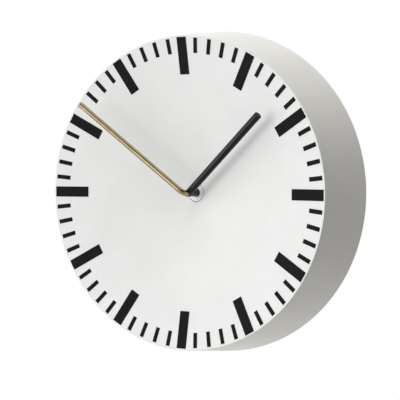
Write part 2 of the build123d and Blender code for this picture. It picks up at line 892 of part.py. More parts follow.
# Coil: the winding between the bobbin's two cheeks, on the core
with BuildPart() as coil:
    coil_middle = (core_left + coil_margin + coil_length / 2, stator_thickness / 2 - stator_base, core_rise)
    coil_plane = Plane(origin=coil_middle, z_dir=(1, 0, 0), x_dir=(0, 1, 0))
    with BuildSketch(coil_plane):
        Circle(coil_radius)
    extrude(amount=coil_length / 2, both=True)
    with BuildSketch(coil_plane):
        Circle(coil_radius)
        Circle(coil_radius - coil_recess, mode=Mode.SUBTRACT)
    extrude(amount=coil_length / 2 - coil_flange, both=True, mode=Mode.SUBTRACT)
    with BuildSketch(coil_plane):
        Rectangle(stator_thickness + 2 * coil_clearance, core_width + 2 * coil_clearance)
    extrude(amount=coil_length / 2, both=True, mode=Mode.SUBTRACT)

coil.part.label = "coil"
export_step(coil.part, "parts/coil.step")

# Circuit board against the front of the housing, with its chip and crystal on the rear face
board_top = inner_top - board_gap
board_base = board_top - board_thickness
board_middle = (inner_half - board_edge - board_length / 2, room_bottom + board_edge + board_width / 2)

with BuildPart() as circuit_board:
    with BuildSketch(face_plane(board_base)):
        with Locations(board_middle):
            Rectangle(board_length, board_width)
    extrude(amount=board_thickness)

circuit_board.part.label = "circuit_board"
export_step(circuit_board.part, "parts/circuit_board.step")

with BuildPart() as chip:
    chip_axis = (board_middle[0] - board_length / 4, board_middle[1])
    with BuildSketch(face_plane(board_base)):
        with Locations(chip_axis):
            Circle(chip_radius)
    extrude(amount=-chip_height, taper=20)

chip.part.label = "chip"
export_step(chip.part, "parts/chip.step")

with BuildPart() as crystal:
    crystal_height = board_base - crystal_radius
    crystal_middle = (board_middle[0] + board_length / 4, -crystal_height, board_middle[1])
    with BuildSketch(Plane(origin=crystal_middle, z_dir=(0, 0, 1))):
        Circle(crystal_radius)
    extrude(amount=crystal_length / 2, both=True)

crystal.part.label = "crystal"
export_step(crystal.part, "parts/crystal.step")

# Setting knob behind the movement; its pinion turns the motion wheel
with BuildPart() as setting_knob:
    knob_top = movement_bottom - knob_standoff
    with BuildSketch(face_plane(knob_top - knob_height)):
        with Locations(knob_axis):
            Circle(knob_radius)
            with PolarLocations(knob_radius, knob_grooves):
                Circle(knob_groove_radius, mode=Mode.SUBTRACT)
    extrude(amount=knob_height)
    with BuildSketch(face_plane(knob_top)):
        with Locations(knob_axis):
            Circle(knob_shaft_radius)
    extrude(amount=motion_level - knob_top)
    extrude(
        gear_outline(knob_teeth, motion_module, knob_axis, knob_phase, motion_level - pinion_overlap),
        amount=wheel_thickness + 2 * pinion_overlap,
    )
    with BuildSketch(face_plane(motion_level)):
        with Locations(knob_axis):
            Circle(arbor_radius)
    extrude(amount=inner_top - end_shake - motion_level)
    with BuildSketch(face_plane(motion_level)):
        with Locations(knob_axis):
            Circle(pivot_radius)
    extrude(amount=inner_top + pivot_length - motion_level)

setting_knob.part.label = "setting_knob"
export_step(setting_knob.part, "parts/setting_knob.step")

# Battery lying across the bay, and the contacts at its ends
battery_height = movement_bottom + battery_sink + battery_radius
battery_right = inner_half - contact_seat - contact_thickness - contact_gap - nub_length
battery_left = battery_right - battery_length

with BuildPart() as battery:
    with BuildSketch(Plane.YZ.offset(battery_left)):
        with Locations((-battery_height, battery_rise)):
            Circle(battery_radius)
    extrude(amount=battery_length)
    with BuildSketch(Plane.YZ.offset(battery_right)):
        with Locations((-battery_height, battery_rise)):
            Circle(nub_radius)
    extrude(amount=nub_length)

battery.part.label = "battery"
export_step(battery.part, "parts/battery.step")

with BuildPart() as positive_contact:
    with BuildSketch(Plane.YZ.offset(inner_half - contact_seat - contact_thickness)):
        with Locations((-battery_height, battery_rise)):
            Rectangle(contact_width, contact_width)
    extrude(amount=contact_thickness)

positive_contact.part.label = "positive_contact"
export_step(positive_contact.part, "parts/positive_contact.step")

# Leaf bent back on itself: its tongue reaches the battery's flat end
with BuildPart() as negative_contact:
    leaf_back = -inner_half + contact_seat
    leaf_front = battery_left - contact_gap
    leaf_low = battery_height - contact_width / 2
    leaf_high = battery_height + contact_width / 2
    with BuildSketch(Plane(origin=(0, 0, battery_rise), x_dir=(1, 0, 0), z_dir=(0, 0, -1))):
        with BuildLine():
            Polyline(
                (leaf_back, leaf_low),
                (leaf_back, leaf_high),
                (leaf_back + 2 * contact_thickness, leaf_high),
                (leaf_front, battery_height),
                (leaf_front, battery_height - contact_thickness),
                (leaf_front - contact_thickness, battery_height - contact_thickness),
                (leaf_back + contact_thickness, leaf_high - contact_thickness),
                (leaf_back + contact_thickness, leaf_low),
                close=True,
            )
        make_face()
    extrude(amount=contact_width / 2, both=True)

negative_contact.part.label = "negative_contact"
export_step(negative_contact.part, "parts/negative_contact.step")
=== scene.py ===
"""Looks of a wall clock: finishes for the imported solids, small fittings, lights and camera."""

from math import cos, pi, radians, sin

import bmesh
import bpy
from bpy.props import FloatProperty, FloatVectorProperty, IntProperty, PointerProperty
from bpy.types import Operator, Panel, PropertyGroup
from mathutils import Matrix, Vector


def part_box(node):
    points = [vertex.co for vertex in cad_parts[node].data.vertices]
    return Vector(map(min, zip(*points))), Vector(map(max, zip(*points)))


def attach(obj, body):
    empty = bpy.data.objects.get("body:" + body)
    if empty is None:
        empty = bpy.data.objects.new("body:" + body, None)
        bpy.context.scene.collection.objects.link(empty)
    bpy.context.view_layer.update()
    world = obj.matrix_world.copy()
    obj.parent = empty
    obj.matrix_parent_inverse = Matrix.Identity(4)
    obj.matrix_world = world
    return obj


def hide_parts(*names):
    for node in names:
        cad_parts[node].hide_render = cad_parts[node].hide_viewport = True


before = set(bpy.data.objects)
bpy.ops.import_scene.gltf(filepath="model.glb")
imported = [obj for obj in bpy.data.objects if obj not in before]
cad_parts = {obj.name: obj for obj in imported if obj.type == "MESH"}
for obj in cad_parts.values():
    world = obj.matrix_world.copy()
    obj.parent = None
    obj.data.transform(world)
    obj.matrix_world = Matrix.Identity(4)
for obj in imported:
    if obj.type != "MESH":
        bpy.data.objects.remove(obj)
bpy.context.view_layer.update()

bl_info = {
    "name": "Wall Clock Looks",
    "version": (1, 0, 0),
    "blender": (4, 5, 0),
    "location": "View3D > Sidebar > Clock",
    "description": "Finishes, fittings, studio and camera for a dished wall clock",
    "category": "Object",
}

MM = 0.001
IMAGE_PIXELS = 400

# Sockets of a Mix node that is set to colours.
FACTOR, FIRST, SECOND, MIXED = 0, 6, 7, 2
# Most values of a Noise texture lie between these.
NOISE_LOW, NOISE_HIGH = 0.3, 0.7
# Bands of a Wave texture, as radians in one unit of its coordinates.
WAVE_RADIANS = 20.0
WHITE = (1.0, 1.0, 1.0, 1.0)

# Points as near as this count as one, in a new shape and in a copy of a CAD node.
WELD, CAD_WELD = 1e-7, 1e-6
# Degrees between two faces: below the first they are merged as flat, above the second their edge is rounded.
FLAT_ANGLE, ROUNDED_ANGLE = 0.5, 40
# Degrees between two faces below which they are shaded as one, on pressed pieces and on turned ones.
PRESSED_ANGLE, TURNED_ANGLE = 35, 50
# Turns a shape made about Z to stand out of the back, towards +Y.
OUT_OF_BACK = Matrix.Rotation(-pi / 2, 4, "X")

# Shares of a pan head's radius and height, from its crown to its seat.
PAN_HEAD = ((0.0, 1.0), (0.62, 0.98), (0.85, 0.84), (0.97, 0.58), (1.0, 0.3), (1.0, 0.0))
# Share of a head's height above which its faces are cut for the recess.
CROWN_SHARE = 0.8
# Share of the recess's width and length that its floor keeps.
RECESS_TAPER = 0.75
# Degrees by which each screw is turned further than the one before it.
SCREW_TURN = 37
# Radius and height of a moulded pin's dome in millimetres, and the steps that it is turned in.
PIN_DOME = ((0.0, 0.5), (0.8, 0.45), (1.3, 0.25), (1.5, 0.0), (0.0, 0.0))
PIN_STEPS = 24
# Height of the collar round the knob, as a multiple of a sign's rise.
COLLAR_RISE = 1.3
# How far moulded details sink into the wall behind them, so that no gap shows.
SIGN_SINK, PIN_SINK = 0.02 * MM, 0.01 * MM
# Share of a raised bar's thinnest side that its edges are rounded by.
BAR_ROUNDING = 0.2
# Points of the cell's rolled jacket edge, as multiples of its lip: in from the side, and along the cell.
ROLLED_EDGE = ((1.6, 0.143), (1.0, 0.0), (0.3, 0.25), (0.0, 1.0))
# How far the side of the cell's can lies in from the jacket's side, as a multiple of the lip.
CAN_INSET = 1.4
# Share of the cell's length that the pale band covers.
BAND_SHARE = 0.24

# The soft boxes look at this point, and the world adds even light at this level.
LAMP_AIM = Vector((0.0, -0.05, 0.0))
WORLD_LEVEL = 0.179
# Directions that a soft box's height may run along.
UPRIGHT, DEEP, SLANTED = (0, 0, 1), (0, 1, 0), (0.646, 0.0, 0.763)
# Soft boxes: name, direction from the dial, distance, width and height in metres, watts, and which way the
# height runs.
SOFT_BOXES = (
    ("key_box", (-0.36, -1.0, 0.14), 1.4, (0.5, 1.15), 6.15, SLANTED),
    ("left_box", (-0.9, -0.4, 0.1), 1.6, (1.2, 1.6), 7.9, UPRIGHT),
    ("low_left_box", (-0.6, -0.8, -0.25), 1.5, (1.4, 1.4), 4.4, UPRIGHT),
    ("top_front_box", (0.0, -0.375, 0.927), 1.3, (1.2, 1.2), 3.0, DEEP),
    ("top_wide_box", (-0.15, -0.2, 0.95), 1.5, (3.0, 3.0), 21.4, DEEP),
    ("top_rear_box", (-0.12, 0.1, 1.0), 1.2, (1.0, 1.0), 1.3, DEEP),
    ("low_box", (0.0, -0.1, -1.0), 0.74, (0.8, 0.8), 0.32, DEEP),
    ("right_rear_box", (0.42, 0.4, 0.84), 1.5, (0.9, 0.9), 3.0, DEEP),
    ("rear_box", (-0.35, 0.93, 0.02), 1.5, (0.9, 0.9), 10.0, UPRIGHT),
)
# Cards that only reflections see: name, azimuth and elevation in degrees, width and height in metres, the two
# colours of its nap, and the strength of its glow.
CARDS = (
    ("dark_card", 19.5, 25.5, (0.6, 0.55), "#1a1000", "#160d00", 1.0),
    ("upper_card", 70.0, 63.0, (0.5, 0.36), "#fdfbf6", "#f8f6f0", 1.5),
    ("corner_card", 78.0, 11.0, (2.1, 1.1), "#2e1602", "#281302", 1.0),
    ("pale_card", -4.0, 1.0, (0.36, 0.4), "#f6faff", "#f2f6fc", 3.3),
    ("side_card", -44.0, -9.0, (0.2, 0.34), "#fdfdfd", "#f7f7f7", 9.5),
)
# Studio floor: its radius, how far it lies below the hands' axis, and the sides of its round edge.
FLOOR_RADIUS, FLOOR_DROP, FLOOR_SIDES = 1.0, 0.8, 96

# Camera of the photograph: degrees to the right of the front and up, the point that it faces, how far it
# stands from that point, the nearest that it sees, its focal length in pixels, and its sensor in millimetres.
CAMERA_AZIMUTH, CAMERA_ELEVATION = 30.463, 1.767
CAMERA_AIM = Vector((18.29, -61.72, -5.30)) * MM
CAMERA_DISTANCE, NEAREST_SEEN = 0.9728, 0.01
FOCAL_PIXELS, SENSOR_WIDTH = 1177.3, 36.0


def linear(code):
    """Linear colour with alpha from an sRGB hex code."""
    parts = [int(code[i : i + 2], 16) / 255 for i in (1, 3, 5)]
    return tuple(c / 12.92 if c <= 0.04045 else ((c + 0.055) / 1.055) ** 2.4 for c in parts) + (1.0,)


def toned(tint, factor):
    """Linear colour made darker or paler by a factor."""
    return tuple(min(1.0, factor * part) for part in tint[:3]) + (1.0,)


def colour(label, code, words):
    """Colour property with an sRGB default."""
    return FloatVectorProperty(
        name=label, description=words, default=linear(code), size=4, min=0.0, max=1.0, subtype="COLOR"
    )


def length(label, millimetres, words):
    """Length property with a default in millimetres."""
    return FloatProperty(
        name=label, description=words, default=millimetres * MM, min=0.0, precision=5, unit="LENGTH",
        subtype="DISTANCE",
    )


class ClockColours(PropertyGroup):
    """Colours of the finishes."""

    shell: colour("Shell", "#f0eee8", "White of the flared drum")
    shell_shade: colour("Shell shade", "#eceae3", "Faint flow marks in the drum's plastic")
    dial: colour("Dial", "#f1f1f0", "Matt white of the dished dial")
    dial_shade: colour("Dial shade", "#edeeec", "Faint mottle of the dial's paint")
    # The disc's whites are painted paler than the dial's: painted light, offsetting the shadow that the hub
    # casts on the disc.
    cap_lightened: colour("Cap", "#fcfcfb", "White of the disc at the centre")
    cap_lightened_mottle: colour("Cap shade", "#f7f7f5", "Faint mottle of the disc's paint")
    # Painted shade: a dark colour laid in the narrow gap round the centre disc and in the disc's bore.
    gap_shade: colour("Gap shade", "#2c2c2b", "Painted shade in the narrow gaps at the centre")
    ink: colour("Ink", "#0c0c0c", "Black of the printed marks")
    ink_thin: colour("Thin ink", "#121212", "Ink where the screen laid less of it")
    black_paint: colour("Black paint", "#0e0e0e", "Satin black of the hour hand")
    black_paint_dry: colour("Dry black paint", "#131313", "Hour hand where the paint is thinner")
    brass: colour("Brass", "#a59878", "Drawn brass of the minute hand")
    brass_dull: colour("Dull brass", "#9b8a64", "Brass where it has begun to tarnish")
    housing: colour("Housing", "#1b1c1d", "Black plastic of the movement")
    housing_worn: colour("Housing sheen", "#202122", "Movement plastic where the mould was polished")
    gear: colour("Gear plastic", "#e6e2d6", "Natural plastic of the wheels")
    zinc: colour("Zinc", "#b4b7ba", "Zinc on the hanger plate")
    zinc_dark: colour("Dark zinc", "#9a9ea2", "Zinc in the spangle's darker grains")
    plating: colour("Plating", "#d3d5d6", "Bright zinc plating on screws, washers and contacts")
    plating_haze: colour("Plating haze", "#c4c6c8", "Bright plating where it is hazed")
    iron: colour("Iron", "#8f9397", "Bare soft iron of the motor")
    iron_pale: colour("Pale iron", "#b9bcbf", "Rolled streaks in the soft iron")
    copper: colour("Copper wire", "#8a4a22", "Enamelled wire of the coil")
    board: colour("Board", "#1f5a34", "Lacquered circuit board")
    jacket: colour("Cell jacket", "#3b4a55", "Plain jacket of the dry cell")
    jacket_band: colour("Cell band", "#c9ccca", "Band at the cell's positive end")
    rubber: colour("Rubber", "#1a1a1a", "Gasket under the movement")
    floor: colour("Floor", "#e9e9e8", "Studio floor")


class ClockSizes(PropertyGroup):
    """Sizes of the fittings and of the finishes' patterns."""

    head_height: length("Screw head", 1.7, "Height of a screw's head")
    shank_radius: length("Screw shank", 1.45, "Radius of a screw's shank")
    recess_width: length("Recess width", 0.9, "Width of the cross recess in a screw head")
    recess_length: length("Recess length", 3.0, "Length of the cross recess in a screw head")
    recess_depth: length("Recess depth", 0.9, "Depth of the cross recess in a screw head")
    edge_break: length("Edge break", 0.3, "Rounding on the edges of the stamped hanger plate")
    sign_size: length("Sign size", 4.2, "Height of the moulded polarity signs")
    sign_rise: length("Sign rise", 0.3, "How far moulded signs stand out")
    sign_stroke: length("Sign stroke", 1.0, "Width of a moulded sign's strokes")
    sign_inset: length("Sign inset", 6.0, "How far the signs stand from the housing's sides and the cell")
    collar_inner: length("Collar inside", 7.0, "Inner radius of the collar round the setting knob")
    collar_outer: length("Collar outside", 8.0, "Outer radius of the collar round the setting knob")
    collar_bevel: length("Collar bevel", 0.2, "Width of the slope at each edge of the collar's top")
    pin_inset: length("Pin inset", 4.0, "How far the moulded pins stand from the housing's edges")
    clip_thickness: length("Clip thickness", 0.9, "Thickness of the clips that hold the housing shut")
    clip_length: length("Clip length", 9.0, "Length of a clip across the housing's split")
    clip_width: length("Clip width", 6.0, "Width of a clip along the housing's side")
    clip_place: length("Clip place", 14.0, "Height of a clip above or below the hands' axis")
    clip_stand: length("Clip stand", 0.35, "How far a clip's middle stands out of the housing's side")
    cell_lip: length("Cell lip", 0.7, "Rolled edge of the cell's jacket")
    cell_recess: length("Cell recess", 0.5, "How far the cell's end faces lie inside its jacket")
    nub_height: length("Nub height", 1.3, "Height of the cell's positive nub")
    nub_radius: length("Nub radius", 2.75, "Radius of the cell's positive nub")
    bend_depth: length("Bend depth", 23.6, "How far the bend of the minute hand lies behind its tip")
    mould_grain: length("Mould grain", 0.5, "Grain of the white plastic")
    paint_peel: length("Paint peel", 1.2, "Orange peel of the sprayed dial")
    draw_line: length("Draw line", 0.18, "Spacing of the draw lines on the brass tube")
    cap_bore: length("Cap bore", 3.6, "Radius of the hole for the hands in the centre disc")
    cap_gap: length("Cap gap", 0.45, "Gap between the centre disc and the dial")
    # How far past a gap's edge the painted gap shade is laid.
    gap_shade_reach: length("Gap shade reach", 0.02, "How far past a gap's edge the painted shade reaches")
    spangle: length("Spangle", 2.5, "Grain of the zinc on the hanger plate")
    spin_steps: IntProperty(name="Spin steps", description="Steps in a turned piece", default=48, min=12)


def colours():
    """Colours that the scene holds."""
    return bpy.context.scene.clock_colours


def sizes():
    """Sizes that the scene holds."""
    return bpy.context.scene.clock_sizes


def add_node(tree, kind, inputs=None, **settings):
    """Node with its settings, and its inputs set or linked."""
    node = tree.nodes.new(kind)
    for key, value in settings.items():
        setattr(node, key, value)
    for key, value in (inputs or {}).items():
        if isinstance(value, bpy.types.NodeSocket):
            tree.links.new(value, node.inputs[key])
        else:
            node.inputs[key].default_value = value
    return node


def new_material(name):
    """Material with its node tree, which holds only the object's coordinates, and their socket."""
    made = bpy.data.materials.new(name)
    made.use_nodes = True
    tree = made.node_tree
    tree.nodes.clear()
    return made, tree, add_node(tree, "ShaderNodeTexCoord").outputs["Object"]


def uneven(tree, where, size, low=0.0, high=1.0, detail=3.0):
    """Unevenness of a real size in metres, spread between two values."""
    cloud = add_node(tree, "ShaderNodeTexNoise", {"Vector": where, "Scale": 1.0 / size, "Detail": detail})
    return add_node(tree, "ShaderNodeMapRange", {
        "Value": cloud.outputs["Fac"],
        "From Min": NOISE_LOW,
        "From Max": NOISE_HIGH,
        "To Min": low,
        "To Max": high,
    }).outputs["Result"]


def moulded_white_abs():
    """ABS from a spark-eroded mould: an even satin white with a fine grain and faint flow marks.

    The grain is drawn coarser than it is, so that it shows.
    """
    made, tree, where = new_material("moulded_white_abs")
    look = colours()
    drawn_out = add_node(tree, "ShaderNodeMapping", {"Vector": where, "Scale": (1.0, 0.25, 1.0)})
    flow = uneven(tree, drawn_out.outputs["Vector"], 40 * MM)
    grain = uneven(tree, where, sizes().mould_grain, detail=2.0)
    tint = add_node(tree, "ShaderNodeMix", {FACTOR: flow, FIRST: look.shell, SECOND: look.shell_shade},
                    data_type="RGBA")
    relief = add_node(tree, "ShaderNodeBump", {"Height": grain, "Distance": 0.015 * MM})
    shader = add_node(tree, "ShaderNodeBsdfPrincipled", {
        "Base Color": tint.outputs[MIXED],
        "Roughness": uneven(tree, where, 12 * MM, 0.42, 0.5),
        "IOR": 1.53,
        "Specular IOR Level": 0.4,
        "Normal": relief.outputs["Normal"],
    })
    add_node(tree, "ShaderNodeOutputMaterial", {"Surface": shader.outputs["BSDF"]})
    return made


def sprayed_white(name, white, shade, shade_within):
    """Two-pack paint sprayed on a moulding: matt, with a low orange peel.

    Within a radius of the axis the colour turns dark: painted shade in the narrow gaps at the centre, where
    it shows as a fine line.
    """
    made, tree, where = new_material(name)
    peel = uneven(tree, where, sizes().paint_peel, detail=1.0)
    cloud = uneven(tree, where, 30 * MM)
    # Painted shade: within a radius of the axis the paint gives way to the dark gap colour.
    flat = add_node(tree, "ShaderNodeMapping", {"Vector": where, "Scale": (1.0, 0.0, 1.0)})
    radius = add_node(tree, "ShaderNodeVectorMath", {0: flat.outputs["Vector"]}, operation="LENGTH")
    gap_shaded = add_node(tree, "ShaderNodeMath", {0: radius.outputs["Value"], 1: shade_within},
                    operation="LESS_THAN")
    paint = add_node(tree, "ShaderNodeMix", {FACTOR: cloud, FIRST: white, SECOND: shade}, data_type="RGBA")
    tint = add_node(tree, "ShaderNodeMix", {
        FACTOR: gap_shaded.outputs["Value"], FIRST: paint.outputs[MIXED], SECOND: colours().gap_shade,
    }, data_type="RGBA")
    relief = add_node(tree, "ShaderNodeBump", {"Height": peel, "Distance": 0.012 * MM})
    shader = add_node(tree, "ShaderNodeBsdfPrincipled", {
        "Base Color": tint.outputs[MIXED],
        "Roughness": uneven(tree, where, 8 * MM, 0.55, 0.65),
        "IOR": 1.5,
        "Specular IOR Level": 0.3,
        "Normal": relief.outputs["Normal"],
    })
    add_node(tree, "ShaderNodeOutputMaterial", {"Surface": shader.outputs["BSDF"]})
    return made


def screen_ink():
    """Screen-printed ink: dense matt black, with the weave of the screen just left in it.

    The weave is drawn coarser than it is, so that it shows.
    """
    made, tree, where = new_material("screen_printed_ink")
    look = colours()
    thin = uneven(tree, where, 3 * MM)
    weave = add_node(tree, "ShaderNodeTexVoronoi", {"Vector": where, "Scale": 1.0 / (0.35 * MM)})
    tint = add_node(tree, "ShaderNodeMix", {FACTOR: thin, FIRST: look.ink, SECOND: look.ink_thin},
                    data_type="RGBA")
    relief = add_node(tree, "ShaderNodeBump", {"Height": weave.outputs["Distance"], "Distance": 0.01 * MM})
    shader = add_node(tree, "ShaderNodeBsdfPrincipled", {
        "Base Color": tint.outputs[MIXED],
        "Roughness": uneven(tree, where, 2 * MM, 0.55, 0.68),
        "IOR": 1.5,
        "Specular IOR Level": 0.1,
        "Normal": relief.outputs["Normal"],
    })
    add_node(tree, "ShaderNodeOutputMaterial", {"Surface": shader.outputs["BSDF"]})
    return made


def satin_black_paint():
    """Powder coat on the aluminium tube: satin black with a fine peel that softens its highlight."""
    made, tree, where = new_material("satin_black_powder_coat")
    look = colours()
    peel = uneven(tree, where, 0.7 * MM, detail=1.0)
    thin = uneven(tree, where, 9 * MM)
    tint = add_node(tree, "ShaderNodeMix", {
        FACTOR: thin, FIRST: look.black_paint, SECOND: look.black_paint_dry,
    }, data_type="RGBA")
    relief = add_node(tree, "ShaderNodeBump", {"Height": peel, "Distance": 0.01 * MM})
    shader = add_node(tree, "ShaderNodeBsdfPrincipled", {
        "Base Color": tint.outputs[MIXED],
        "Roughness": uneven(tree, where, 5 * MM, 0.22, 0.28),
        "IOR": 1.5,
        "Specular IOR Level": 0.22,
        "Normal": relief.outputs["Normal"],
    })
    add_node(tree, "ShaderNodeOutputMaterial", {"Surface": shader.outputs["BSDF"]})
    return made


def drawn_brass(arm):
    """Brass tube drawn through a die: fine lines along the arm stretch its highlights, and it is a bit dull.

    The lines are drawn further apart than they are, so that they show.
    """
    made, tree, where = new_material("drawn_brass")
    look = colours()
    along = add_node(tree, "ShaderNodeMapping", {
        "Vector": where, "Rotation": arm.to_track_quat("X", "Z").to_euler(), "Scale": (50.0, 1.0, 1.0),
    }, vector_type="TEXTURE").outputs["Vector"]
    lines = uneven(tree, along, sizes().draw_line, detail=4.0)
    dull = uneven(tree, where, 6 * MM, detail=5.0)
    tint = add_node(tree, "ShaderNodeMix", {FACTOR: dull, FIRST: look.brass, SECOND: look.brass_dull},
                    data_type="RGBA")
    relief = add_node(tree, "ShaderNodeBump", {"Height": lines, "Distance": 0.001 * MM})
    shader = add_node(tree, "ShaderNodeBsdfPrincipled", {
        "Base Color": tint.outputs[MIXED],
        "Metallic": 1.0,
        "Roughness": uneven(tree, along, 0.5 * MM, 0.04, 0.08),
        "Normal": relief.outputs["Normal"],
    })
    add_node(tree, "ShaderNodeOutputMaterial", {"Surface": shader.outputs["BSDF"]})
    return made


def turned_brass():
    """Brass bar turned on a lathe: fine rings across the axis of the hands.

    The rings are drawn coarser than they are, so that they show.
    """
    made, tree, where = new_material("turned_brass")
    look = colours()
    across = add_node(tree, "ShaderNodeMapping", {"Vector": where, "Scale": (0.05, 1.0, 0.05)})
    rings = uneven(tree, across.outputs["Vector"], 0.2 * MM)
    dull = uneven(tree, where, 4 * MM)
    tint = add_node(tree, "ShaderNodeMix", {FACTOR: dull, FIRST: look.brass, SECOND: look.brass_dull},
                    data_type="RGBA")
    relief = add_node(tree, "ShaderNodeBump", {"Height": rings, "Distance": 0.008 * MM})
    shader = add_node(tree, "ShaderNodeBsdfPrincipled", {
        "Base Color": tint.outputs[MIXED],
        "Metallic": 1.0,
        "Roughness": uneven(tree, where, 3 * MM, 0.22, 0.34),
        "Normal": relief.outputs["Normal"],
    })
    add_node(tree, "ShaderNodeOutputMaterial", {"Surface": shader.outputs["BSDF"]})
    return made


def moulded_black_abs():
    """Black ABS of the movement: a coarse leather-like mould grain, greyer where the mould was polished."""
    made, tree, where = new_material("moulded_black_abs")
    look = colours()
    worn = uneven(tree, where, 10 * MM)
    grain = add_node(tree, "ShaderNodeTexVoronoi", {"Vector": where, "Scale": 1.0 / (0.6 * MM)})
    tint = add_node(tree, "ShaderNodeMix", {FACTOR: worn, FIRST: look.housing, SECOND: look.housing_worn},
                    data_type="RGBA")
    relief = add_node(tree, "ShaderNodeBump", {"Height": grain.outputs["Distance"], "Distance": 0.04 * MM})
    shader = add_node(tree, "ShaderNodeBsdfPrincipled", {
        "Base Color": tint.outputs[MIXED],
        "Roughness": uneven(tree, where, 4 * MM, 0.46, 0.52),
        "IOR": 1.53,
        "Normal": relief.outputs["Normal"],
    })
    add_node(tree, "ShaderNodeOutputMaterial", {"Surface": shader.outputs["BSDF"]})
    return made


def moulded_acetal():
    """Natural acetal of the wheels: a waxy off-white, clouded where it cooled first."""
    made, tree, where = new_material("moulded_acetal")
    gear = colours().gear
    cloud = uneven(tree, where, 3 * MM)
    tint = add_node(tree, "ShaderNodeMix", {FACTOR: cloud, FIRST: gear, SECOND: toned(gear, 0.85)},
                    data_type="RGBA")
    grain = uneven(tree, where, 0.3 * MM)
    relief = add_node(tree, "ShaderNodeBump", {"Height": grain, "Distance": 0.006 * MM})
    shader = add_node(tree, "ShaderNodeBsdfPrincipled", {
        "Base Color": tint.outputs[MIXED],
        "Roughness": uneven(tree, where, 1.5 * MM, 0.3, 0.42),
        "IOR": 1.48,
        "Subsurface Weight": 0.1,
        "Subsurface Scale": 0.4 * MM,
        "Normal": relief.outputs["Normal"],
    })
    add_node(tree, "ShaderNodeOutputMaterial", {"Surface": shader.outputs["BSDF"]})
    return made


def galvanised_plate():
    """Steel sheet dipped in zinc: a cool grey, with a spangle of slightly lighter and darker grains.

    The lines from rolling are drawn coarser than they are, so that they show.
    """
    made, tree, where = new_material("galvanised_steel")
    look = colours()
    grains = add_node(tree, "ShaderNodeTexVoronoi", {"Vector": where, "Scale": 1.0 / sizes().spangle})
    tone = add_node(tree, "ShaderNodeSeparateColor", {"Color": grains.outputs["Color"]}).outputs["Red"]
    rolled = add_node(tree, "ShaderNodeMapping", {"Vector": where, "Scale": (0.04, 1.0, 1.0)})
    lines = uneven(tree, rolled.outputs["Vector"], 0.25 * MM)
    tint = add_node(tree, "ShaderNodeMix", {FACTOR: tone, FIRST: look.zinc, SECOND: look.zinc_dark},
                    data_type="RGBA")
    dulled = add_node(tree, "ShaderNodeMapRange", {"Value": tone, "To Min": 0.26, "To Max": 0.42})
    relief = add_node(tree, "ShaderNodeBump", {"Height": lines, "Distance": 0.006 * MM})
    shader = add_node(tree, "ShaderNodeBsdfPrincipled", {
        "Base Color": tint.outputs[MIXED],
        "Metallic": 1.0,
        "Roughness": dulled.outputs["Result"],
        "Normal": relief.outputs["Normal"],
    })
    add_node(tree, "ShaderNodeOutputMaterial", {"Surface": shader.outputs["BSDF"]})
    return made


def plated_steel():
    """Steel plated with bright zinc: smooth and silvery, with a faint haze from handling."""
    made, tree, where = new_material("zinc_plated_steel")
    look = colours()
    haze = uneven(tree, where, 1.5 * MM)
    tint = add_node(tree, "ShaderNodeMix", {FACTOR: haze, FIRST: look.plating, SECOND: look.plating_haze},
                    data_type="RGBA")
    relief = add_node(tree, "ShaderNodeBump", {"Height": haze, "Distance": 0.004 * MM})
    shader = add_node(tree, "ShaderNodeBsdfPrincipled", {
        "Base Color": tint.outputs[MIXED],
        "Metallic": 1.0,
        "Roughness": uneven(tree, where, 0.8 * MM, 0.18, 0.3),
        "Normal": relief.outputs["Normal"],
    })
    add_node(tree, "ShaderNodeOutputMaterial", {"Surface": shader.outputs["BSDF"]})
    return made


def stamped_iron():
    """Soft iron of the motor: stamped and grey, with streaks from rolling.

    The streaks are drawn coarser than they are, so that they show.
    """
    made, tree, where = new_material("stamped_soft_iron")
    look = colours()
    along = add_node(tree, "ShaderNodeMapping", {"Vector": where, "Scale": (0.03, 1.0, 1.0)})
    rolled = uneven(tree, along.outputs["Vector"], 0.3 * MM)
    tint = add_node(tree, "ShaderNodeMix", {FACTOR: rolled, FIRST: look.iron, SECOND: look.iron_pale},
                    data_type="RGBA")
    relief = add_node(tree, "ShaderNodeBump", {"Height": rolled, "Distance": 0.006 * MM})
    shader = add_node(tree, "ShaderNodeBsdfPrincipled", {
        "Base Color": tint.outputs[MIXED],
        "Metallic": 1.0,
        "Roughness": uneven(tree, where, 2 * MM, 0.35, 0.5),
        "Normal": relief.outputs["Normal"],
    })
    add_node(tree, "ShaderNodeOutputMaterial", {"Surface": shader.outputs["BSDF"]})
    return made


def wound_copper():
    """Enamelled wire wound on the bobbin: a warm brown, with turns side by side along X, and painted shade in
    the grooves between them.

    The turns are drawn wider than they are, so that they show.
    """
    made, tree, where = new_material("wound_copper")
    copper = colours().copper
    turns = add_node(tree, "ShaderNodeTexWave", {
        "Vector": where, "Scale": 2 * pi / (WAVE_RADIANS * 0.592 * MM), "Distortion": 0.4,
    }, bands_direction="X").outputs["Fac"]
    # The darker copy of the copper is painted shade in the grooves between the turns.
    tint = add_node(tree, "ShaderNodeMix", {FACTOR: turns, FIRST: toned(copper, 0.45), SECOND: copper},
                    data_type="RGBA")
    relief = add_node(tree, "ShaderNodeBump", {"Height": turns, "Distance": 0.05 * MM})
    shader = add_node(tree, "ShaderNodeBsdfPrincipled", {
        "Base Color": tint.outputs[MIXED],
        "Metallic": 0.6,
        "Roughness": uneven(tree, where, 1 * MM, 0.3, 0.4),
        "Normal": relief.outputs["Normal"],
    })
    add_node(tree, "ShaderNodeOutputMaterial", {"Surface": shader.outputs["BSDF"]})
    return made


